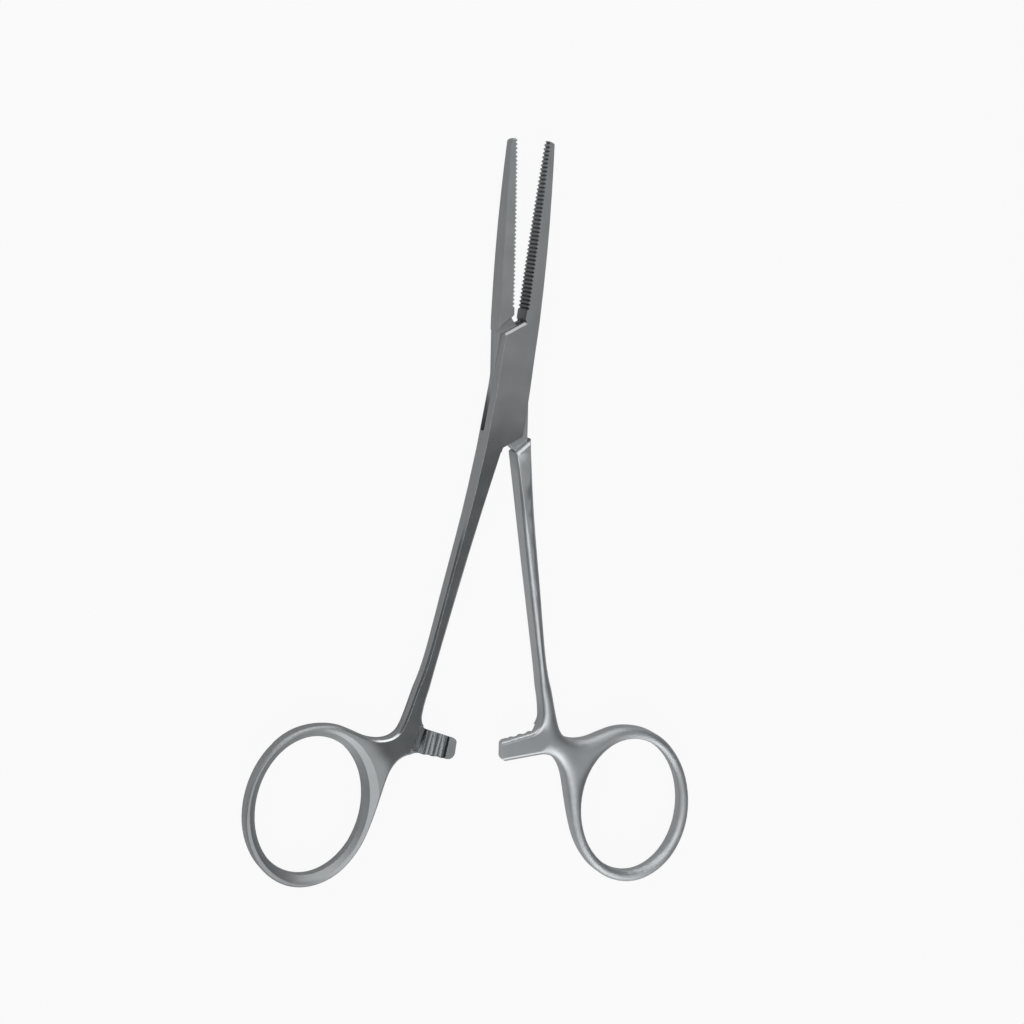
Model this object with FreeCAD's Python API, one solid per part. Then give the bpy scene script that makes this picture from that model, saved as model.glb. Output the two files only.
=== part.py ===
import FreeCAD, Part
import math
import os

# Straight box-lock haemostatic forceps, millimetres.
# Y runs along the instrument towards the tips, X across it, Z up from the face it lies on.
# The origin is on the hinge axis, at the height of that face.
# A half is drawn closed and about its own middle plane, with its jaw at +X and its ring at -X.
# Its flat side is up. The other half is the same forging turned half a turn about Y.

Vec = FreeCAD.Vector
UP = Vec(0, 0, 1)

# Whole instrument
rest_opening_deg = 8.0          # angle between the halves as it lies
box_half_height = 2.5           # half the thickness at the hinge

# Jaw: x from the closing line, y from the hinge
jaw_start_y = 13.0
jaw_end_y = 46.3
jaw_root_wall = 3.5
jaw_tip_wall = 1.3
jaw_belly = 0.25                # outward swell of the outer side at mid length
jaw_tip_half_height = 1.15
jaw_thinning = 2                # power of the way along the jaw by which its thickness falls
jaw_root_bevel = (0.45, 1.3)    # inwards and down
jaw_tip_bevel = (0.3, 0.7)
jaw_root_gap = 0.47             # middle of the teeth to the closing line when the tips meet
jaw_tip_gap = 0.07
jaw_sections = 5
tip_corner_radius = 1.3
tip_nose_radius = 0.55          # seen from the side, above and below

# Cross serrations
tooth_pitch = 0.75
tooth_depth = 0.42
first_groove_y = 15.2
groove_count = 42               # the last one runs out at the tip

# Box lock
box_wall = 3.8                  # half width at the hinge
box_bevel = (0.6, 1.4)          # inwards and down
shank_root_y = -12.0
plate_top_edge = ((0.47, 12.75), (-3.09, 10.25))
plate_low_edge = ((-0.38, -11.15), (3.46, -8.54))
plate_top_bevel = 0.42
plate_low_bevel = 0.12
plate_corner_radius = 1.0
shoulder_top_edge = ((0.55, 13.55), (3.45, 11.0))
shoulder_low_edge = ((-0.78, -12.24), (-3.53, -10.02))
shoulder_top_bevel = 0.14
shoulder_low_bevel = 0.4
tongue_half_height = 1.0
tongue_half_width = 3.5
tongue_point = (0.05, 12.9)     # end of the slanted upper edge near the closing line
tongue_side_y = 8.5             # the other end of that edge
tongue_low_corner = (-1.1, -11.75)
tongue_low_side_y = -7.7        # the lower edge slants too, from the corner to here
tongue_seat = 1.5               # how far the tongue runs on inside its own jaw and shank
tongue_root_inset = (0.5, 0.8)  # of its seat's end from the jaw's outer side and from the teeth
slot_face_clearance = 0.05
slot_end_clearance = 0.5
slot_corner_radius = 0.5

# Hinge pin, riveted and ground flush
pin_radius = 1.5
pin_running_clearance = 0.04

# Shank: y, outer x, inner x, half height
shank_stations = (
    (shank_root_y, -4.26, -0.50, box_half_height),
    (-16.0, -4.54, -1.15, 2.42),
    (-22.0, -4.98, -2.11, 2.28),
    (-32.0, -5.99, -3.60, 2.06),
    (-45.0, -7.46, -5.45, 1.94),
)
throat_relief = 0.45            # how much slimmer the tongue half's shank is inside, at its root
throat_relief_end_y = -28.0
shank_even_y = -34.0            # below this the shank has the ring's round and flat sides
shank_inner_bevel = (0.15, 0.3) # at the box, on both faces
shank_root_bulge = 0.49         # how far its lower edges swell at the box: half would be a bevel

# Finger ring, the web beside it and the shank's end
handle_reach = 24.2             # from the ring's centre up to where the shank begins
handle_outer_x = -9.58
handle_inner_x = -7.2
handle_half_height = 1.9
handle_round = 0.95             # rounding of the outer edges on the rounded side
handle_edge = 0.35              # bevel of the outer edges on the flat side
shank_slope = (-0.215, -1.0)    # its direction where the ring part begins
neck_drawn_y = -58.0            # where the shank begins in the points below: they stretch up to it
flare_foot_y = -68.5            # up from here the flare's points stretch
flare_points = ((-10.8, -63.7), (-12.4, -67.4), (-15.0, -68.5), (-20.4, -67.55))
web_points = ((-13.4, -78.4), (-12.3, -73.9), (-10.6, -71.55))
throat_points = ((-7.05, -65.3), (-7.75, -63.3), (-7.6, -61.0))
ring_centre = (-26.85, -82.2)
ring_opening = (13.35, 10.5, 1.9)   # half length, half width, lean in degrees
ring_outside = (15.5, 12.35, 5.0)
ring_outside_from_deg = 352.0   # clockwise from the tips' end
ring_outside_to_deg = 112.0
opening_round = 0.6             # rounding of the opening on the rounded side
bevel_depth = 1.05              # the opening's bevel on the flat side: where it meets the wall
bevel_margin = (1.05, 0.67)     # how far it reaches past the opening, in length and width
bevel_shift = (0.2, 0.05)       # its offset towards the web
dish_depth = 0.35               # where the dish meets the bevel
dish_margin = (1.6, 1.95)
dish_shift = (0.75, 0.05)
dish_rise = 0.02                # how far the cutter stands out of the flat side
dish_seam = 0.8                 # where its surface starts and ends, in radians
arc_tolerance = 0.05            # between a smooth curve and the arcs that follow it

# Ratchet arm
arm_end_x = 0.5
arm_top_line = ((-5.4, -66.3), (arm_end_x, -67.6))
arm_low_line = ((-7.7, -70.8), (arm_end_x, -71.7))
arm_top_corner = 0.8
arm_low_corner = 1.3
arm_middle_y = -69.0
arm_half_gap = 0.05             # from the middle plane to the tooth tops
tooth_lean = 0.08               # sideways per millimetre along y
ramp_top_x = -8.9               # the slanted root of the arm, on its middle line
ramp_foot_x = -6.45
ramp_lean = 0.2
ratchet_pitch = 1.88
ratchet_depth = 0.65
ratchet_count = 3
ratchet_first_x = -5.66         # middle of the tooth nearest the shank
ratchet_land = 0.4
ratchet_steep_run = 0.3         # the side facing the shank, which holds
ratchet_gentle_run = 0.65       # the side that slides
pad_start_x = -1.08
cutter_spare = 1.0              # how far a cutter stands out of what it cuts

handle_top_y = ring_centre[1] + handle_reach


def blend(start, end, share):
    return start + (end - start) * share


def blend_pair(start, end, share):
    return (blend(start[0], end[0], share), blend(start[1], end[1], share))


def on_line(line, x):
    """Y of the straight line through two points, at x."""
    start, end = line
    return blend(start[1], end[1], (x - start[0]) / (end[0] - start[0]))


def closed_wire(points):
    return Part.makePolygon(list(points) + [points[0]])


def plate(points, low, high):
    """Flat plate with a straight-sided plan, between two heights."""
    face = Part.Face(closed_wire([Vec(x, y, low) for x, y in points]))
    return face.extrude(Vec(0, 0, high - low))


def corner_waste(corner, first_way, second_way, radius):
    """What rounding a corner takes off a flat plate; the ways lead along its two sides."""
    first = Vec(first_way).normalize()
    second = Vec(second_way).normalize()
    half_angle = first.getAngle(second) / 2
    run = radius / math.tan(half_angle)
    bisector = (first + second).normalize()
    centre = corner + bisector * (radius / math.sin(half_angle))
    start = corner + first * run
    end = corner + second * run
    margin = 2 * run
    outline = [start, start - second * margin, corner - bisector * 2 * margin, end - first * margin, end]
    reach = 2 * box_half_height
    wedge = plate([(point.x, point.y) for point in outline], -reach, reach)
    return wedge.cut(Part.makeCylinder(radius, 2 * reach, centre - UP * reach))


def octagon(y, left, right, left_bevel, right_bevel, half_height):
    """Cross-section with bevelled edges on both sides."""
    left_in, left_down = left_bevel
    right_in, right_down = right_bevel
    half = [
        (left, left_down - half_height), (left + left_in, -half_height),
        (right - right_in, -half_height), (right, right_down - half_height),
    ]
    upper = [(x, -z) for x, z in reversed(half)]
    return closed_wire([Vec(x, y, z) for x, z in half + upper])


def jaw_share(y):
    return (y - jaw_start_y) / (jaw_end_y - jaw_start_y)


def jaw_face(y):
    """X of the tooth crests on the gripping face."""
    return blend(jaw_root_gap, jaw_tip_gap, jaw_share(y)) - tooth_depth / 2


def jaw_wall(y):
    share = jaw_share(y)
    return blend(jaw_root_wall, jaw_tip_wall, share) + jaw_belly * math.sin(math.pi * share)


def jaw_wall_way(y):
    """Direction of the outer side towards the hinge."""
    step = 1.0
    return Vec(jaw_wall(y - step) - jaw_wall(y), -step, 0)


def jaw_section(y):
    share = jaw_share(y)
    half_height = blend(box_half_height, jaw_tip_half_height, share ** jaw_thinning)
    bevel_in, bevel_down = blend_pair(jaw_root_bevel, jaw_tip_bevel, share)
    inner = jaw_face(y)
    wall = jaw_wall(y)
    land = half_height - bevel_down
    outline = (
        (inner, -half_height), (wall - bevel_in, -half_height), (wall, -land),
        (wall, land), (wall - bevel_in, half_height), (inner, half_height),
    )
    return closed_wire([Vec(x, y, z) for x, z in outline])


def jaw_tip_waste():
    """What is ground away round the tip, seen from above and from the side."""
    tip = Vec(jaw_tip_wall, jaw_end_y, 0)
    waste = corner_waste(tip, jaw_wall_way(jaw_end_y), Vec(-1, 0, 0), tip_corner_radius)
    for side in (1, -1):
        edge = Vec(side * jaw_tip_half_height, jaw_end_y, 0)
        nose = corner_waste(edge, Vec(0, -1, 0), Vec(-side, 0, 0), tip_nose_radius)
        nose.rotate(Vec(0, 0, 0), Vec(0, 1, 0), -90)
        waste = waste.fuse(nose)
    return waste


def serration_comb(shift):
    """Toothed cutter for the gripping face; shift moves its grooves along the jaw."""
    outline = []
    for index in range(groove_count):
        middle = first_groove_y + shift + index * tooth_pitch
        outline.append((jaw_face(middle - tooth_pitch / 2), middle - tooth_pitch / 2))
        outline.append((jaw_face(middle) + tooth_depth, middle))
    last_y = middle + tooth_pitch / 2
    outline.append((jaw_face(last_y), last_y))
    outline.append((-jaw_root_wall, last_y))
    outline.append((-jaw_root_wall, outline[0][1]))
    return plate(outline, -box_half_height, box_half_height)


def make_jaw(groove_shift):
    rows = range(jaw_sections)
    heights = [blend(jaw_start_y, jaw_end_y, row / (jaw_sections - 1)) for row in rows]
    jaw = Part.makeLoft([jaw_section(y) for y in heights], True, False)
    return jaw.cut(jaw_tip_waste()).cut(serration_comb(groove_shift))


def make_box():
    """Full-width box between the jaw's root and the shank's root."""
    shank_outer = shank_stations[0][1]
    jaw_side = octagon(jaw_start_y, -box_wall, jaw_root_wall, box_bevel, jaw_root_bevel, box_half_height)
    hinge = octagon(0, -box_wall, box_wall, box_bevel, box_bevel, box_half_height)
    shank_side = octagon(shank_root_y, shank_outer, box_wall, box_bevel, box_bevel, box_half_height)
    return Part.makeLoft([jaw_side, hinge, shank_side], True, True)


def shank_section(y, outer, inner, half_height):
    """Flat above with bevelled edges; below, the edges swell from bevels to rounds."""
    share = min(1.0, (y - shank_root_y) / (shank_even_y - shank_root_y))
    edge = (handle_edge, handle_edge)
    outer_top = blend_pair(box_bevel, edge, share)
    inner_top = blend_pair(shank_inner_bevel, edge, share)
    outer_low = blend_pair(box_bevel, (handle_round, handle_round), share)
    inner_low = blend_pair(shank_inner_bevel, (handle_round, handle_round), share)
    bulge = blend(shank_root_bulge, 1 - math.sqrt(0.5), share)
    low = -half_height

    def line(start, end):
        return Part.LineSegment(Vec(start[0], y, start[1]), Vec(end[0], y, end[1])).toShape()

    def arc(start, corner, end):
        offset = (start[0] + end[0] - 2 * corner[0], start[1] + end[1] - 2 * corner[1])
        middle = (corner[0] + bulge * offset[0], corner[1] + bulge * offset[1])
        return Part.Arc(*[Vec(x, y, z) for x, z in (start, middle, end)]).toShape()

    top_left = (outer + outer_top[0], half_height)
    top_right = (inner - inner_top[0], half_height)
    right_top = (inner, half_height - inner_top[1])
    right_low = (inner, low + inner_low[1])
    low_right = (inner - inner_low[0], low)
    low_left = (outer + outer_low[0], low)
    left_low = (outer, low + outer_low[1])
    left_top = (outer, half_height - outer_top[1])
    return Part.Wire([
        line(top_left, top_right), line(top_right, right_top), line(right_top, right_low),
        arc(right_low, (inner, low), low_right), line(low_right, low_left),
        arc(low_left, (outer, low), left_low), line(left_low, left_top), line(left_top, top_left),
    ])


def ring_curve(size, margin=(0, 0), shift=(0, 0)):
    """Ellipse round the finger opening; its parameter runs anticlockwise from the tips' end."""
    long, wide, lean_deg = size
    lean = math.radians(lean_deg)
    centre = Vec(ring_centre[0] + shift[0], ring_centre[1] + shift[1], 0)
    end = centre + Vec(math.sin(lean), math.cos(lean), 0) * (long + margin[0])
    side = centre + Vec(-math.cos(lean), math.sin(lean), 0) * (wide + margin[1])
    return Part.Ellipse(end, side, centre)


def ring_outside_point(angle_deg):
    """Point of the ring's outside in a direction measured clockwise from the tips' end."""
    long, wide, lean_deg = ring_outside
    direction = math.radians(angle_deg)
    turned = direction - math.radians(lean_deg)
    radius = 1 / math.hypot(math.sin(turned) / wide, math.cos(turned) / long)
    return Vec(ring_centre[0] + radius * math.sin(direction), ring_centre[1] + radius * math.cos(direction), 0)


def arcs_along(spline):
    """Chain of tangent arcs that follows a smooth curve."""
    return [arc.toShape() for arc in spline.toBiArcs(arc_tolerance)]


def ellipse_arcs(curve, first, last):
    return arcs_along(Part.ArcOfEllipse(curve, first, last).toBSpline())


def smooth(points, first_tangent, last_tangent):
    curve = Part.BSplineCurve()
    curve.interpolate(Points=points, InitialTangent=first_tangent, FinalTangent=last_tangent)
    return arcs_along(curve)


def plan_points(pairs):
    return [Vec(x, y, 0) for x, y in pairs]


def neck_points(pairs, foot_y):
    """Points of the plan, those above foot_y stretched up to where the shank begins."""
    stretch = (handle_top_y - foot_y) / (neck_drawn_y - foot_y)
    return [Vec(x, foot_y + (y - foot_y) * stretch if y > foot_y else y, 0) for x, y in pairs]


def handle_plan():
    """Ring, web, arm and the shank's end seen from above, finger opening included."""
    outer = Vec(handle_outer_x, handle_top_y, 0)
    inner = Vec(handle_inner_x, handle_top_y, 0)
    slope = Vec(*shank_slope, 0).normalize()
    outside = ring_curve(ring_outside)
    rim_start = ring_outside_point(ring_outside_from_deg)
    rim_end = ring_outside_point(ring_outside_to_deg)
    first = outside.parameter(rim_start)
    last = outside.parameter(rim_end)
    arm_top, arm_top_end = plan_points(arm_top_line)
    arm_low, arm_low_end = plan_points(arm_low_line)
    flare = smooth([outer] + neck_points(flare_points, flare_foot_y) + [rim_start], slope, outside.tangent(first)[0])
    web = smooth([rim_end] + plan_points(web_points) + [arm_low], outside.tangent(last)[0],
                 (arm_low_end - arm_low).normalize())
    throat = smooth([arm_top] + neck_points(throat_points, arm_top.y) + [inner],
                    (arm_top - arm_top_end).normalize(), slope.negative())
    arm = [Part.LineSegment(arm_low, arm_low_end).toShape(),
           Part.LineSegment(arm_low_end, arm_top_end).toShape(),
           Part.LineSegment(arm_top_end, arm_top).toShape()]
    end = [Part.LineSegment(inner, outer).toShape()]
    return Part.Wire(flare + ellipse_arcs(outside, first, last) + web + arm + throat + end)


def edges_at(solid, z):
    return [edge for edge in solid.Edges if abs(edge.BoundBox.ZMax - z) + abs(edge.BoundBox.ZMin - z) < 0.01]


def is_rim_edge(edge):
    """True for the outer edges other than those at the shank's end and the arm's end."""
    box = edge.BoundBox
    at_shank = box.YMin > handle_top_y - 0.01
    at_arm_end = box.XMin > arm_end_x - 0.01
    return not (at_shank or at_arm_end)


def arm_end_waste():
    top_start, top_end = plan_points(arm_top_line)
    low_start, low_end = plan_points(arm_low_line)
    top = corner_waste(top_end, top_start - top_end, low_end - top_end, arm_top_corner)
    low = corner_waste(low_end, low_start - low_end, top_end - low_end, arm_low_corner)
    return top.fuse(low)


def leaning_bar(outline, lean):
    """Bar across the arm with an outline in x and z; lean is its sideways run along y."""
    length = 2 * (handle_half_height + ratchet_pitch)
    start_y = arm_middle_y - length / 2
    face = Part.Face(closed_wire([Vec(x - lean * length / 2, start_y, z) for x, z in outline]))
    return face.extrude(Vec(lean * length, length, 0))


def ratchet_waste():
    """What is taken off the arm's flat side: all beyond the ramp and the floor, bar the teeth."""
    top = handle_half_height + cutter_spare
    tooth_top = -arm_half_gap
    floor = tooth_top - ratchet_depth
    root = floor - cutter_spare
    far = arm_end_x + handle_half_height
    ramp_slope = (ramp_foot_x - ramp_top_x) / (handle_half_height - floor)
    waste = leaning_bar([
        (ramp_top_x - ramp_slope * cutter_spare, top), (ramp_foot_x, floor), (far, floor), (far, top),
    ], ramp_lean)
    for index in range(ratchet_count):
        middle = ratchet_first_x + index * ratchet_pitch
        left = middle - ratchet_land / 2
        right = middle + ratchet_land / 2
        waste = waste.cut(leaning_bar([
            (left - ratchet_steep_run, root), (left - ratchet_steep_run, floor), (left, tooth_top),
            (right, tooth_top), (right + ratchet_gentle_run, floor), (right + ratchet_gentle_run, root),
        ], tooth_lean))
    pad_foot_x = pad_start_x - ratchet_steep_run
    return waste.cut(leaning_bar([
        (pad_foot_x, root), (pad_foot_x, floor), (pad_start_x, tooth_top), (far, tooth_top), (far, root),
    ], tooth_lean))


def dish_rim(margin, shift, depth):
    curve = ring_curve(ring_opening, margin, shift)
    rim = Part.ArcOfEllipse(curve, dish_seam, dish_seam + 2 * math.pi).toShape()
    rim.translate(UP * (handle_half_height - depth))
    return Part.Wire([rim])


def dish_waste():
    """Bevel of the opening on the flat side, and a shallow dish round it, wide towards the web."""
    slope = (bevel_depth - dish_depth) / min(bevel_margin)
    inside = (-cutter_spare, -cutter_spare)
    low = dish_rim(inside, (0, 0), bevel_depth + cutter_spare * slope)
    middle = dish_rim(bevel_margin, bevel_shift, dish_depth)
    high = dish_rim(dish_margin, dish_shift, -dish_rise)
    return Part.makeLoft([low, middle, high], True, True)


def opening_outline():
    """The finger opening as a chain of arcs, quarter by quarter."""
    curve = ring_curve(ring_opening)
    quarter = math.pi / 2
    outline = []
    for index in range(4):
        outline += ellipse_arcs(curve, index * quarter, (index + 1) * quarter)
    return Part.Wire(outline)


def make_ring_opening():
    hole = Part.Face(opening_outline())
    hole.translate(UP * -handle_half_height)
    return hole.extrude(UP * 2 * handle_half_height)


def opening_edges(solid):
    """Edges of the finger opening on the rounded side."""
    curve = ring_curve(ring_opening).toShape()
    found = []
    for edge in solid.Edges:
        middle = edge.valueAt((edge.FirstParameter + edge.LastParameter) / 2)
        below = middle.z < 0
        middle.z = 0
        near = curve.distToShape(Part.Vertex(middle))[0] < 2 * arc_tolerance
        level = edge.BoundBox.ZLength < handle_half_height
        if near and level and below:
            found.append(edge)
    return found


def make_handle():
    plan = Part.Face(handle_plan())
    plan.translate(UP * -handle_half_height)
    solid = plan.extrude(UP * 2 * handle_half_height)
    low_rim = [edge for edge in edges_at(solid, -handle_half_height) if is_rim_edge(edge)]
    solid = solid.makeFillet(handle_round, low_rim)
    top_rim = [edge for edge in edges_at(solid, handle_half_height) if is_rim_edge(edge)]
    solid = solid.makeChamfer(handle_edge, top_rim)
    solid = solid.cut(make_ring_opening())
    solid = solid.makeFillet(opening_round, opening_edges(solid))
    solid = solid.cut(dish_waste())
    return solid.cut(arm_end_waste()).cut(ratchet_waste()).Solids[0]


def make_shank(handle, relief):
    """Shank from the box down to the matching end face of the ring part; relief slims its root."""
    sections = []
    for y, outer, inner, half_height in shank_stations:
        share = max(0.0, (throat_relief_end_y - y) / (throat_relief_end_y - shank_root_y))
        sections.append(shank_section(y, outer, inner - relief * share, half_height))
    end_faces = [face for face in handle.Faces if face.BoundBox.YMin > handle_top_y - 0.01]
    sections.append(end_faces[0].OuterWire)
    return Part.makeLoft(sections, True, False)


def edge_bevel_waste(line, size, before, after):
    """Wedges that bevel both rims of an upright face; the face looks to the right of its line."""
    start, end = plan_points(line)
    way = (end - start).normalize()
    out = Vec(way.y, -way.x, 0)
    spare = size + cutter_spare
    length = (end - start).Length + before + after
    wedges = []
    for side in (1, -1):
        up = UP * side
        rim = start - way * before + up * box_half_height
        corners = [rim - out * (size + cutter_spare) + up * cutter_spare,
                   rim + out * cutter_spare + up * cutter_spare,
                   rim + out * cutter_spare - up * (size + cutter_spare)]
        wedges.append(Part.Face(closed_wire(corners)).extrude(way * length))
    return wedges[0].fuse(wedges[1])


def half_plane(line, above):
    """Block on one side, in y, of a line in plan."""
    reach = 4 * box_wall
    far = reach * (1 if above else -1) * 2
    corners = ((-reach, on_line(line, -reach)), (reach, on_line(line, reach)), (reach, far), (-reach, far))
    return plate(corners, -2 * box_half_height, 2 * box_half_height)


def slot_space():
    """Slot through the box from side to side, parallel to the tongue's slanted ends."""
    point_x, point_y = tongue_point
    start = Vec(-point_x, point_y, 0)
    end = Vec(tongue_half_width, tongue_side_y, 0)
    way = (end - start).normalize()
    out = Vec(-way.y, way.x, 0)
    overrun = way * 3 * box_wall
    upper_left = start + out * slot_end_clearance - overrun
    lower_right = end + out * slot_end_clearance + overrun
    corners = [upper_left, lower_right, upper_left.negative(), lower_right.negative()]
    height = tongue_half_height + slot_face_clearance
    slot = plate([(point.x, point.y) for point in corners], -height, height)
    end_length = (lower_right - upper_left).Length
    end_edges = [edge for edge in slot.Edges
                 if edge.BoundBox.ZLength < 0.01 and abs(edge.Length - end_length) < 0.01]
    return slot.makeFillet(slot_corner_radius, end_edges)


def make_box_half(handle, shank):
    """Half with the box: two plates, with the slot for the other half's tongue between them."""
    high = box_half_height
    wide = 2 * box_wall
    jaw_side = plate_top_edge[0]
    throat = plate_low_edge[0]
    block = plate((
        (-wide, on_line(plate_top_edge, -wide)), jaw_side, (jaw_side[0], jaw_start_y), (wide, jaw_start_y),
        (wide, on_line(plate_low_edge, wide)), throat, (shank_stations[0][2], shank_root_y),
        (-wide, shank_root_y),
    ), -high, high)
    throat_edges = [edge for edge in block.Edges if edge.BoundBox.ZLength > high
                    and edge.CenterOfMass.distanceToPoint(Vec(*throat, 0)) < 0.01]
    block = block.makeFillet(plate_corner_radius, throat_edges)
    box = make_box().common(block)
    box = box.cut(edge_bevel_waste(plate_top_edge, plate_top_bevel, 0, box_wall))
    box = box.cut(edge_bevel_waste(plate_low_edge, plate_low_bevel, 0, box_wall))
    half = box.fuse([make_jaw(0), shank, handle])
    bore = Part.makeCylinder(pin_radius, 2 * high, Vec(0, 0, -high))
    return half.cut(slot_space()).cut(bore).removeSplitter()


def make_tongue():
    point_x, point_y = tongue_point
    seat_y = point_y + tongue_seat
    half = tongue_half_width
    outer_inset, inner_inset = tongue_root_inset
    upper = [(half, point_y - tongue_seat), (half - outer_inset, seat_y), (point_x + inner_inset, seat_y),
             tongue_point, (-half, tongue_side_y)]
    low_x, low_y = tongue_low_corner
    lower = [(-half, -seat_y), (low_x - tongue_seat / 2, -seat_y), tongue_low_corner, (half, tongue_low_side_y)]
    return plate(upper + lower, -tongue_half_height, tongue_half_height)


def make_tongue_half(handle, shank):
    """Half with the tongue: cut down to it between the two shoulders."""
    high = box_half_height
    box = make_box()
    jaw_root = box.common(Part.makeBox(box_wall, jaw_start_y, 2 * high, Vec(jaw_face(jaw_start_y), 0, -high)))
    upper = jaw_root.fuse(make_jaw(tooth_pitch / 2)).cut(half_plane(shoulder_top_edge, False))
    upper = upper.cut(edge_bevel_waste(shoulder_top_edge, shoulder_top_bevel, 1, 1))
    shank_inner = shank_stations[0][2] - throat_relief
    shank_root = box.common(Part.makeBox(2 * box_wall, -shank_root_y, 2 * high,
                                         Vec(shank_inner - 2 * box_wall, shank_root_y, -high)))
    lower = shank_root.fuse([shank, handle]).cut(half_plane(shoulder_low_edge, True))
    lower = lower.cut(edge_bevel_waste(shoulder_low_edge, shoulder_low_bevel, 1, 1))
    half = make_tongue().fuse([upper, lower])
    bore = Part.makeCylinder(pin_radius + pin_running_clearance, 2 * high, Vec(0, 0, -high))
    return half.cut(bore).removeSplitter()


def place(shape, turn_deg):
    """Lift a half onto the resting face and open it about the hinge."""
    shape.translate(UP * box_half_height)
    shape.rotate(Vec(0, 0, 0), UP, turn_deg)
    return shape


handle = make_handle()
box_half = make_box_half(handle, make_shank(handle, 0.0))
tongue_half = make_tongue_half(handle, make_shank(handle, throat_relief))
tongue_half.rotate(Vec(0, 0, 0), Vec(0, 1, 0), 180)
pivot_pin = Part.makeCylinder(pin_radius, 2 * box_half_height, Vec(0, 0, -box_half_height))

pieces = {
    "box_half": place(box_half, -rest_opening_deg / 2),
    "tongue_half": place(tongue_half, rest_opening_deg / 2),
    "pivot_pin": place(pivot_pin, 0),
}
os.makedirs("parts", exist_ok=True)
for name, shape in pieces.items():
    shape.exportStep("parts/" + name + ".step")
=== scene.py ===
"""Looks of a straight box-lock hemostat in satin stainless steel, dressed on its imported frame."""

import logging
import math
from dataclasses import dataclass
from enum import Enum

import bmesh
import bpy
from mathutils import Matrix, Vector


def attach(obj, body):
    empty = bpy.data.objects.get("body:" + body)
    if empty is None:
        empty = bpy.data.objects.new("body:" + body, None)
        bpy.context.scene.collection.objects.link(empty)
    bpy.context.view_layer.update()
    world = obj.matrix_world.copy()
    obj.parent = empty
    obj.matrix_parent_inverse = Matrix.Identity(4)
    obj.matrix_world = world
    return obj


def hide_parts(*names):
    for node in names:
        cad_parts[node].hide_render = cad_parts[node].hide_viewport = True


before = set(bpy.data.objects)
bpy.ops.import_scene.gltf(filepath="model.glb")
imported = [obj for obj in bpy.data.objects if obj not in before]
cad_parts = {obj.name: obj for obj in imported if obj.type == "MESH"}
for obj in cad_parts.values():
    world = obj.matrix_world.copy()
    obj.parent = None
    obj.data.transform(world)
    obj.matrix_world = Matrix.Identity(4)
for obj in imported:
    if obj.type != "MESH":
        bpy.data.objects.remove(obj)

MM = 0.001
PHOTO_PIXELS = 1024
SENSOR_MM = 36.0
NOISE_SPAN = (0.3, 0.7)     # noise rarely goes past these
FULL = 1.0
EVEN = (1.0, 1.0, 1.0)

Socket = bpy.types.NodeSocket
Span = tuple[float, float]
Triple = tuple[float, float, float]

log = logging.getLogger("hemostat")


class Lie(Enum):
    """Which face of its ring part a forging turns up as the instrument lies."""

    FLAT_UP = -1.0
    ROUND_UP = 1.0


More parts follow.
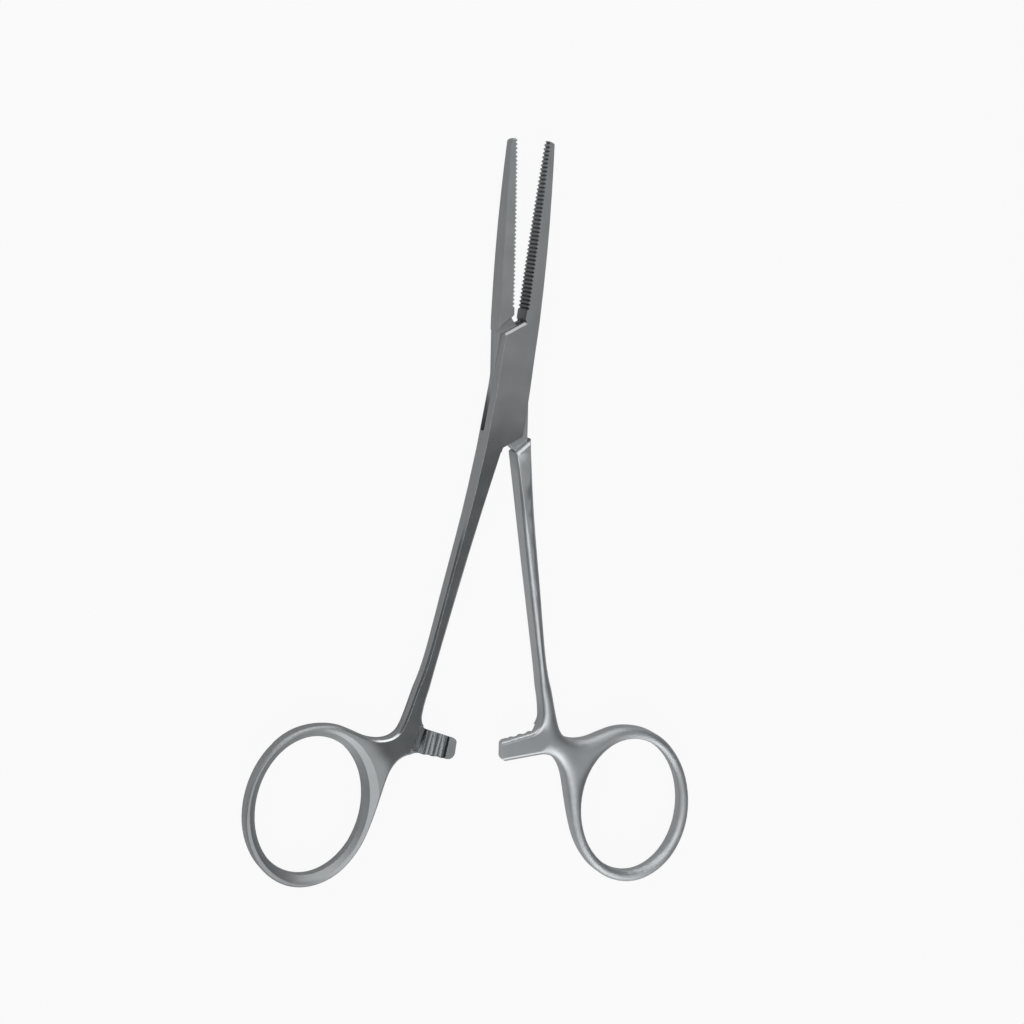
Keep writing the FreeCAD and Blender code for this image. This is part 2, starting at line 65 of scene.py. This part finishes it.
class Graph:
    """A material's node tree with short ways to add and join nodes."""

    def __init__(self, name: str) -> None:
        """Start an empty node material.

        Args:
            name: The material's name.
        """
        self.material = bpy.data.materials.new(name)
        self.material.use_nodes = True
        self.tree = self.material.node_tree
        self.tree.nodes.clear()

    def add(self, kind: str, **settings: object) -> bpy.types.Node:
        """Add one node.

        Args:
            kind: Blender's node type.
            settings: Properties of the node, set by name.

        Returns:
            The new node.
        """
        node = self.tree.nodes.new(kind)
        for key, value in settings.items():
            setattr(node, key, value)
        return node

    def join(self, source: Socket, target: Socket) -> None:
        """Link an output to an input."""
        self.tree.links.new(source, target)

    def finish(self, surface: Socket) -> bpy.types.Material:
        """Put a shader on the material's surface.

        Args:
            surface: The shader's output.

        Returns:
            The finished material.
        """
        out = self.add("ShaderNodeOutputMaterial")
        self.join(surface, out.inputs["Surface"])
        return self.material

    def noise(self, place: Socket, cells: float, detail: float) -> Socket:
        """Add a noise texture.

        Args:
            place: Coordinates that the noise reads.
            cells: Cells for each metre.
            detail: Octaves of finer noise.

        Returns:
            The grey output.
        """
        node = self.add("ShaderNodeTexNoise")
        node.inputs["Scale"].default_value = cells
        node.inputs["Detail"].default_value = detail
        self.join(place, node.inputs["Vector"])
        return node.outputs["Fac"]

    def mapped(self, value: Socket, span: Span, low: float, high: float, curve: str) -> Socket:
        """Map a range onto another.

        Args:
            value: The value to map.
            span: Values that give the first and the second result.
            low: The first result.
            high: The second result.
            curve: Blender's name for the way between them.

        Returns:
            The mapped value.
        """
        node = self.add("ShaderNodeMapRange", interpolation_type=curve)
        node.inputs["From Min"].default_value = span[0]
        node.inputs["From Max"].default_value = span[1]
        node.inputs["To Min"].default_value = low
        node.inputs["To Max"].default_value = high
        self.join(value, node.inputs["Value"])
        return node.outputs["Result"]

    def spread(self, noise: Socket, low: float, high: float) -> Socket:
        """Map noise evenly onto a range."""
        return self.mapped(noise, NOISE_SPAN, low, high, "LINEAR")

    def ramp(self, value: Socket, span: Span, low: float = 0.0, high: float = FULL) -> Socket:
        """Map a range onto another with soft ends."""
        return self.mapped(value, span, low, high, "SMOOTHSTEP")

    def ramp_mm(self, value: Socket, span_mm: Span, low: float = 0.0, high: float = FULL) -> Socket:
        """Map a range of millimetres onto another with soft ends."""
        return self.ramp(value, (span_mm[0] * MM, span_mm[1] * MM), low, high)

    def compute(self, operation: str, *values: Socket) -> Socket:
        """Compute with one or two values.

        Args:
            operation: Blender's name for the operation.
            values: What it works on.

        Returns:
            The result.
        """
        node = self.add("ShaderNodeMath", operation=operation)
        for value, target in zip(values, node.inputs):
            self.join(value, target)
        return node.outputs["Value"]

    def times(self, first: Socket, second: Socket) -> Socket:
        """Multiply two values."""
        return self.compute("MULTIPLY", first, second)

    def plus(self, first: Socket, second: Socket) -> Socket:
        """Add two values."""
        return self.compute("ADD", first, second)

    def share(self, value: Socket, factor: float) -> Socket:
        """Multiply a value by a fixed factor.

        Args:
            value: The value.
            factor: What it is multiplied by.

        Returns:
            The result.
        """
        node = self.add("ShaderNodeMath", operation="MULTIPLY")
        node.inputs[1].default_value = factor
        self.join(value, node.inputs[0])
        return node.outputs["Value"]

    def turned(self, angle_deg: float, stretch: Triple = EVEN) -> Socket:
        """Object coordinates turned about the vertical and stretched.

        Args:
            angle_deg: Turn about Z.
            stretch: Scale along each axis.

        Returns:
            The coordinates.
        """
        place = self.add("ShaderNodeTexCoord").outputs["Object"]
        turn = self.add("ShaderNodeMapping")
        turn.inputs["Rotation"].default_value = (0.0, 0.0, math.radians(angle_deg))
        self.join(place, turn.inputs["Vector"])
        scale = self.add("ShaderNodeMapping")
        scale.inputs["Scale"].default_value = stretch
        self.join(turn.outputs["Vector"], scale.inputs["Vector"])
        return scale.outputs["Vector"]

    def parts(self, place: Socket) -> dict[str, Socket]:
        """Split coordinates.

        Args:
            place: The coordinates.

        Returns:
            The values along X, Y and Z, by those names.
        """
        node = self.add("ShaderNodeSeparateXYZ")
        self.join(place, node.inputs["Vector"])
        return {axis: node.outputs[axis] for axis in "XYZ"}


@dataclass(frozen=True)
class SatinSteel:
    """Stainless steel, blasted at the jaws and the box and brushed smoother below them.

    Each half is brushed along its own length, so a finish knows that direction. Where the ring
    part is rounded, its form runs over from side to side without a flat land.
    """

    name: str
    lie: Lie
    turn_deg: float = 0.0
    colour: Triple = (0.50, 0.515, 0.525)
    colour_play: float = 0.04
    # painted light: colour factor below the blasted part that makes the steel lighter there, standing in
    # for light falling on it
    brushed_painted_light: float = 1.0
    cloud_cells: float = 220.0
    cloud_detail: float = 3.0
    cloud_play: float = 0.02

    blasted: float = 0.395
    brushed: float = 0.23
    ring_brushed: float = 0.52
    tip_extra: float = 0.06
    pad_extra: float = 0.18
    blasting_ends_mm: Span = (0.0, -15.0)
    tip_span_mm: Span = (6.0, 30.0)
    pad_ends_mm: Span = (1.2, 1.9)
    ring_centre_mm: Span = (32.52, -80.13)
    ring_span_mm: Span = (18.0, 14.5)

    grain_cells: float = 4500.0
    grain_depth: float = 0.05
    stroke_cells: Triple = (4200.0, 160.0, 4200.0)
    brush_depth: float = 0.03
    fine_detail: float = 2.0
    bump_mm: float = 0.02

    # painted shade: ambient occlusion darkens the steel's colour in crevices and recesses
    painted_shade_samples: int = 8
    crevice_painted_shade_reach_mm: float = 0.6
    crevice_painted_shade_span: Span = (0.3, 0.85)
    crevice_painted_shade_darkest: float = 0.12
    recess_painted_shade_reach_mm: float = 2.2
    recess_painted_shade_span: Span = (0.15, 0.5)
    recess_painted_shade_darkest: float = 0.25

    edge_samples: int = 12
    edge_mm: float = 0.06
    ring_round_mm: float = 3.2
    ring_starts_mm: Span = (-52.0, -62.0)
    arm_ends_mm: Span = (6.5, 10.0)
    teeth_start_mm: Span = (13.0, 14.5)
    rivet_mm: Span = (2.3, 2.6)
    middle_mm: float = 2.5
    side_blend_mm: float = 0.4

    def material(self) -> bpy.types.Material:
        """Build the node material.

        Returns:
            The finished material.
        """
        graph = Graph(self.name)
        plain = graph.turned(0.0)
        cloud = graph.noise(plain, self.cloud_cells, self.cloud_detail)
        shader = graph.add("ShaderNodeBsdfPrincipled")
        shader.inputs["Metallic"].default_value = FULL
        graph.join(self.colour_out(graph, plain, cloud), shader.inputs["Base Color"])
        graph.join(self.roughness_out(graph, plain, cloud), shader.inputs["Roughness"])
        graph.join(self.normal_out(graph, plain), shader.inputs["Normal"])
        return graph.finish(shader.outputs["BSDF"])

    def along(self, graph: Graph, plain: Socket, span_mm: Span, low: float, high: float) -> Socket:
        """Run from one value to another over a stretch of the instrument's length."""
        return graph.ramp_mm(graph.parts(plain)["Y"], span_mm, low, high)

    def colour_out(self, graph: Graph, plain: Socket, cloud: Socket) -> Socket:
        """Steel grey with a slight cloud, with painted shade in crevices and recesses and painted light
        that can lift the brushed part.

        Args:
            graph: The node tree.
            plain: Plain object coordinates.
            cloud: Slow noise over the steel.

        Returns:
            The colour.
        """
        tone = graph.add("ShaderNodeMix", data_type="RGBA", blend_type="MIX")
        for side, factor in (("A", FULL - self.colour_play), ("B", FULL + self.colour_play)):
            tone.inputs[side].default_value = (*[channel * factor for channel in self.colour], FULL)
        graph.join(graph.spread(cloud, 0.0, FULL), tone.inputs["Factor"])
        # painted shade in crevices and recesses, darkening the steel tone
        crevice_painted_shade = self.painted_hollow_shade(graph, self.crevice_painted_shade_reach_mm, self.crevice_painted_shade_span, self.crevice_painted_shade_darkest)
        recess_painted_shade = self.painted_hollow_shade(graph, self.recess_painted_shade_reach_mm, self.recess_painted_shade_span, self.recess_painted_shade_darkest)
        # painted light: lifts the colour of the brushed part by the finish's factor
        painted_light_lift = self.along(graph, plain, self.blasting_ends_mm, FULL, self.brushed_painted_light)
        # painted light and shade multiply the steel tone
        painted_light_and_shade = graph.add("ShaderNodeMix", data_type="RGBA", blend_type="MULTIPLY")
        painted_light_and_shade.inputs["Factor"].default_value = FULL
        graph.join(tone.outputs["Result"], painted_light_and_shade.inputs["A"])
        graph.join(graph.times(graph.times(crevice_painted_shade, recess_painted_shade), painted_light_lift), painted_light_and_shade.inputs["B"])
        return painted_light_and_shade.outputs["Result"]

    def painted_hollow_shade(self, graph: Graph, reach_mm: float, span: Span, shade: float) -> Socket:
        """Painted shade: ambient occlusion darkens the colour where nearby steel closes a place in.

        Args:
            graph: The node tree.
            reach_mm: How near the steel counts.
            span: Openness that is dark, and openness that is clean.
            shade: The darkest value.

        Returns:
            The shade.
        """
        openness = graph.add("ShaderNodeAmbientOcclusion", samples=self.painted_shade_samples, only_local=True)
        openness.inputs["Distance"].default_value = reach_mm * MM
        return graph.ramp(openness.outputs["AO"], span, shade, FULL)

    def roughness_out(self, graph: Graph, plain: Socket, cloud: Socket) -> Socket:
        """Roughness of the blasted, the brushed and the ring part, with a slight cloud.

        Args:
            graph: The node tree.
            plain: Plain object coordinates.
            cloud: Slow noise over the steel.

        Returns:
            The roughness.
        """
        length = self.along(graph, plain, self.blasting_ends_mm, self.blasted, self.brushed)
        tips = self.along(graph, plain, self.tip_span_mm, 0.0, self.tip_extra)
        ring = self.ring_share(graph, plain, self.ring_brushed - self.brushed)
        play = graph.spread(cloud, -self.cloud_play, self.cloud_play)
        pad = graph.plus(self.pad_share(graph, self.pad_extra), play)
        return graph.plus(graph.plus(length, tips), graph.plus(ring, pad))

    def ring_share(self, graph: Graph, plain: Socket, most: float) -> Socket:
        """Value that grows round the finger opening.

        Args:
            graph: The node tree.
            plain: Plain object coordinates.
            most: The value at the opening.

        Returns:
            The value.
        """
        away = graph.add("ShaderNodeVectorMath", operation="DISTANCE")
        graph.join(plain, away.inputs[0])
        across, up = self.ring_centre_mm
        away.inputs[1].default_value = (self.lie.value * across * MM, up * MM, self.middle_mm * MM)
        return graph.ramp_mm(away.outputs["Value"], self.ring_span_mm, 0.0, most)

    def pad_share(self, graph: Graph, most: float) -> Socket:
        """Value that grows at the ratchet arm's end pad.

        Args:
            graph: The node tree.
            most: The value on the pad.

        Returns:
            The value.
        """
        own = graph.parts(graph.turned(self.turn_deg))
        below = graph.ramp_mm(own["Y"], self.ring_starts_mm)
        sideways = graph.compute("ABSOLUTE", own["X"])
        return graph.times(below, graph.ramp_mm(sideways, self.pad_ends_mm, most, 0.0))

    def edge_radius(self, graph: Graph) -> Socket:
        """Radius over which edges look rounded: wide on the ring part's rounded side, none at the rivet.

        Args:
            graph: The node tree.

        Returns:
            The radius in metres.
        """
        own = graph.parts(graph.turned(self.turn_deg))
        ring = graph.ramp_mm(own["Y"], self.ring_starts_mm)
        off_arm = graph.ramp_mm(graph.compute("ABSOLUTE", own["X"]), self.arm_ends_mm)
        blend = self.side_blend_mm * self.lie.value
        round_side = graph.ramp_mm(own["Z"], (self.middle_mm - blend, self.middle_mm + blend))
        extra = graph.times(graph.times(ring, off_arm), round_side)
        radius = graph.ramp(extra, (0.0, FULL), self.edge_mm * MM, self.ring_round_mm * MM)
        flat = graph.add("ShaderNodeCombineXYZ")
        for axis in "XY":
            graph.join(own[axis], flat.inputs[axis])
        away = graph.add("ShaderNodeVectorMath", operation="LENGTH")
        graph.join(flat.outputs["Vector"], away.inputs[0])
        off_rivet = graph.ramp_mm(away.outputs["Value"], self.rivet_mm)
        off_teeth = graph.ramp_mm(own["Y"], self.teeth_start_mm, FULL, 0.0)
        return graph.times(radius, graph.times(off_rivet, off_teeth))

    def normal_out(self, graph: Graph, plain: Socket) -> Socket:
        """Rounded edges under fine grain and brush strokes.

        Args:
            graph: The node tree.
            plain: Plain object coordinates.

        Returns:
            The normal.
        """
        rounded = graph.add("ShaderNodeBevel", samples=self.edge_samples)
        graph.join(self.edge_radius(graph), rounded.inputs["Radius"])
        grain = graph.noise(plain, self.grain_cells, self.fine_detail)
        strokes = graph.noise(graph.turned(self.turn_deg, self.stroke_cells), FULL, self.fine_detail)
        normal = rounded.outputs["Normal"]
        for height, depth in ((grain, self.grain_depth), (strokes, self.brush_depth)):
            bump = graph.add("ShaderNodeBump")
            bump.inputs["Strength"].default_value = depth
            bump.inputs["Distance"].default_value = self.bump_mm * MM
            graph.join(height, bump.inputs["Height"])
            graph.join(normal, bump.inputs["Normal"])
            normal = bump.outputs["Normal"]
        return normal


@dataclass(frozen=True)
class Creases:
    """Angles from which a solid's edges are crisp, rather than part of a rounding, and where.

    The angles are the ones at which a solid's small facets meet. They are low on the flat side
    round the finger opening and high on the rounded side.
    """

    edge_deg: float = 18.0
    corner_deg: float = 35.0
    rounding_deg: float = 48.0
    opening_deg: float = 6.0
    tips_start_mm: float = 44.5
    shank_start_mm: float = -14.0
    flat_side_mm: float = -0.5
    round_side_mm: float = 0.2
    ring_reach_mm: float = 17.5
    most_outward: float = 0.6
    least_upright: float = 0.95

    def crisp_from(self, edge: bmesh.types.BMEdge, finish: SatinSteel) -> float:
        """Tell the angle from which an edge is crisp.

        Args:
            edge: An edge of the merged solid.
            finish: The finish, which knows how the forging lies.

        Returns:
            The angle in degrees.
        """
        side = finish.lie.value
        across, up = finish.ring_centre_mm
        start, end = (vertex.co / MM for vertex in edge.verts)
        spot = (start + end) / 2
        way = (end - start).normalized()
        height = (spot.z - finish.middle_mm) * side
        out = Vector((spot.x - side * across, spot.y - up, 0.0))
        runs_round = abs(way.dot(out.normalized())) < self.most_outward
        if height < self.flat_side_mm and out.length < self.ring_reach_mm and runs_round:
            return self.opening_deg
        if abs(way.z) > self.least_upright or spot.y > self.tips_start_mm:
            return self.corner_deg
        if height > self.round_side_mm and spot.y < self.shank_start_mm:
            return self.rounding_deg
        return self.edge_deg


@dataclass
class Forging:
    """One steel piece, shown by a merged and smoothly shaded copy of its solid."""

    node: str
    body: str
    finish: SatinSteel
    creases: Creases = Creases()
    merge_mm: float = 0.0008
    sliver_mm: float = 1e-5
    face_weight: int = 60

    def build(self) -> bpy.types.Object:
        """Make the piece and dress it.

        Returns:
            The finished object.
        """
        piece = self.merged_copy()
        piece.data.materials.clear()
        piece.data.materials.append(self.finish.material())
        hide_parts(self.node)
        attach(piece, self.body)
        log.info("%s: %d faces, finish %s", piece.name, len(piece.data.polygons), self.finish.name)
        return piece

    def merged_copy(self) -> bpy.types.Object:
        """Copy the solid's loose triangles into one closed mesh with crisp edges kept crisp.

        Returns:
            The new object, at the origin.
        """
        shape = bmesh.new()
        shape.from_mesh(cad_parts[self.node].data)
        bmesh.ops.remove_doubles(shape, verts=shape.verts, dist=self.merge_mm * MM)
        bmesh.ops.dissolve_degenerate(shape, edges=shape.edges, dist=self.sliver_mm * MM)
        for face in shape.faces:
            face.smooth = True
        for edge in shape.edges:
            limit = math.radians(self.creases.crisp_from(edge, self.finish))
            edge.smooth = edge.calc_face_angle(0.0) < limit
        mesh = bpy.data.meshes.new(self.node + "_steel")
        shape.to_mesh(mesh)
        shape.free()
        if mesh.has_custom_normals:
            mesh.attributes.remove(mesh.attributes["custom_normal"])
        piece = bpy.data.objects.new(self.node + "_steel", mesh)
        bpy.context.scene.collection.objects.link(piece)
        even = piece.modifiers.new("even shading", "WEIGHTED_NORMAL")
        even.keep_sharp = True
        even.mode = "FACE_AREA"
        even.weight = self.face_weight
        return piece


@dataclass
class Viewpoint:
    """The photograph's camera, placed about the hinge.

    The three turns take the instrument's axes to the camera's: about Y, then X, then Z.
    """

    yaw_deg: float = 21.0
    pitch_deg: float = 7.329
    roll_deg: float = -5.117
    hinge_pixel: Span = (509.237, 388.0)
    distance_mm: float = 461.533
    pixels_per_mm: float = 5.34
    hinge_height_mm: float = 2.5
    clip_m: Span = (0.01, 20.0)

    def build(self) -> bpy.types.Object:
        """Add the camera to the scene.

        Returns:
            The camera.
        """
        turn = (
            Matrix.Rotation(math.radians(self.roll_deg), 3, "Z")
            @ Matrix.Rotation(math.radians(self.pitch_deg), 3, "X")
            @ Matrix.Rotation(math.radians(self.yaw_deg), 3, "Y")
        )
        middle = PHOTO_PIXELS / 2
        hinge = Vector((
            (self.hinge_pixel[0] - middle) / self.pixels_per_mm,
            (middle - self.hinge_pixel[1]) / self.pixels_per_mm,
            -self.distance_mm,
        ))
        eye = turn.transposed() @ -hinge + Vector((0.0, 0.0, self.hinge_height_mm))
        lens = bpy.data.cameras.new("camera")
        lens.sensor_width = SENSOR_MM
        lens.lens = self.pixels_per_mm * self.distance_mm / PHOTO_PIXELS * SENSOR_MM
        lens.clip_start, lens.clip_end = self.clip_m
        camera = bpy.data.objects.new("camera", lens)
        camera.matrix_world = Matrix.LocRotScale(eye * MM, turn.transposed().to_quaternion(), None)
        bpy.context.scene.collection.objects.link(camera)
        bpy.context.scene.camera = camera
        log.info("camera at %s, lens %.1f mm", [round(value, 4) for value in camera.location], lens.lens)
        return camera


@dataclass(frozen=True)
class SoftBox:
    """A wide lamp that looks at the instrument."""

    name: str
    place: Triple
    size: Span
    brightness: float
    aim: Triple = (0.0, -0.02, 0.0)

    def build(self) -> bpy.types.Object:
        """Add the lamp to the scene.

        Returns:
            The lamp.
        """
        light = bpy.data.lights.new(self.name, "AREA")
        light.shape = "RECTANGLE"
        light.size, light.size_y = self.size
        light.energy = self.brightness * math.pi * self.size[0] * self.size[1]
        lamp = bpy.data.objects.new(self.name, light)
        way = Vector(self.aim) - Vector(self.place)
        lamp.matrix_world = Matrix.LocRotScale(Vector(self.place), way.to_track_quat("-Z", "Y"), None)
        bpy.context.scene.collection.objects.link(lamp)
        return lamp


@dataclass
class Studio:
    """White floor, even sky and soft lamps."""

    floor_size: float = 3.0
    floor_white: float = 0.52
    shown_white: float = 0.93
    mirrored_white: float = 0.06
    sky: Triple = (0.125, 0.130, 0.134)
    sky_strength: float = 1.0
    lamps: tuple[SoftBox, ...] = (
        SoftBox("overhead lamp", (-0.29, 0.08, 0.80), (0.78, 0.85), 1.35),
        SoftBox("tip side lamp", (-0.20, 1.00, 0.36), (1.60, 0.35), 2.1),
        SoftBox("ring side lamp", (0.05, -0.80, 0.60), (1.20, 0.60), 1.7),
    )

    def build(self) -> None:
        """Add floor, sky and lamps."""
        self.build_floor()
        self.build_sky()
        for lamp in self.lamps:
            lamp.build()
        log.info("studio: floor and %d lamps", len(self.lamps))

    def floor_material(self) -> bpy.types.Material:
        """White that reads as white to the camera and in reflections, and takes a shadow.

        Returns:
            The floor's material.
        """
        graph = Graph("floor white")
        matt = graph.add("ShaderNodeBsdfDiffuse")
        matt.inputs["Color"].default_value = (self.floor_white, self.floor_white, self.floor_white, FULL)
        glow = graph.add("ShaderNodeEmission")
        glow.inputs["Color"].default_value = (FULL, FULL, FULL, FULL)
        glow.inputs["Strength"].default_value = FULL
        path = graph.add("ShaderNodeLightPath")
        shown = graph.share(path.outputs["Is Camera Ray"], self.shown_white)
        mirrored = graph.share(path.outputs["Is Glossy Ray"], self.mirrored_white)
        mix = graph.add("ShaderNodeMixShader")
        graph.join(graph.plus(shown, mirrored), mix.inputs["Fac"])
        graph.join(matt.outputs["BSDF"], mix.inputs[1])
        graph.join(glow.outputs["Emission"], mix.inputs[2])
        return graph.finish(mix.outputs["Shader"])

    def build_floor(self) -> bpy.types.Object:
        """Lay the floor that the instrument rests on.

        Returns:
            The floor.
        """
        shape = bmesh.new()
        bmesh.ops.create_grid(shape, x_segments=1, y_segments=1, size=self.floor_size / 2)
        mesh = bpy.data.meshes.new("floor")
        shape.to_mesh(mesh)
        shape.free()
        floor = bpy.data.objects.new("floor", mesh)
        floor.data.materials.append(self.floor_material())
        bpy.context.scene.collection.objects.link(floor)
        return floor

    def build_sky(self) -> None:
        """Even grey light from all round."""
        world = bpy.data.worlds.new("studio")
        world.use_nodes = True
        ground = world.node_tree.nodes["Background"]
        ground.inputs["Color"].default_value = (*self.sky, FULL)
        ground.inputs["Strength"].default_value = self.sky_strength
        bpy.context.scene.world = world


class Hemostat:
    """The whole instrument, in the order in which it is dressed."""

    def __init__(self) -> None:
        """Set up the three steel pieces."""
        box_steel = SatinSteel("box half steel", Lie.FLAT_UP, 4.0)
        # painted light: the tongue half's brushed part has its colour raised by 1.36
        tongue_steel = SatinSteel("tongue half steel", Lie.ROUND_UP, -4.0, brushed=0.40,
                                  ring_brushed=0.40, brushed_painted_light=1.36, pad_extra=0.0)
        self.pieces = (
            Forging("box_half", "box_side", box_steel),
            Forging("tongue_half", "tongue_side", tongue_steel),
            Forging("pivot_pin", "box_side", SatinSteel("pin steel", Lie.FLAT_UP, 4.0)),
        )

    def build(self) -> list[bpy.types.Object]:
        """Dress every piece.

        Returns:
            The finished objects.
        """
        return [piece.build() for piece in self.pieces]


def main() -> None:
    """Build the studio and the instrument."""
    logging.basicConfig(level=logging.INFO, format="%(name)s: %(message)s")
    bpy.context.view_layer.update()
    scene = bpy.context.scene
    scene.view_settings.view_transform = "Standard"
    Viewpoint().build()
    Studio().build()
    Hemostat().build()


if __name__ == "__main__":
    main()
